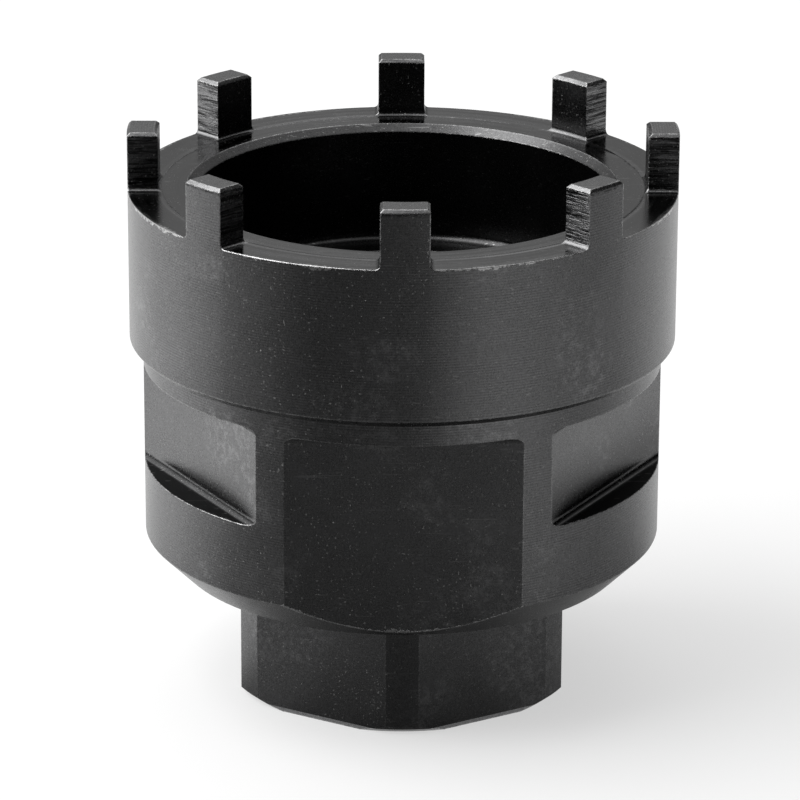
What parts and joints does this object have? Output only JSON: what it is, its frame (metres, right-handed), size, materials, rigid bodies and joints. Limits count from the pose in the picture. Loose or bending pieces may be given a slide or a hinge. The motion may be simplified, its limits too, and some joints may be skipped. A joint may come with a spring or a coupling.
{
  "type": "bottom bracket tool",
  "caption": "One-piece steel socket for bottom bracket cups: a crown of square lugs on a hollow round body with milled wrench flats, a coned foot and a hex end.",
  "frame": {"origin": "centre of the flat face at the hex end, on the tool's axis", "axes": "+Z along the axis from the hex end to the lugs; -Y is the front, where one lug, one long wrench flat and one corner of the hex point"},
  "size_m": [0.054, 0.054, 0.057],
  "materials": {
    "steel": "black oxide over turned and milled steel, satin"
  },
  "bodies": {
    "root": {"tool": "steel"}
  },
  "joints": []
}
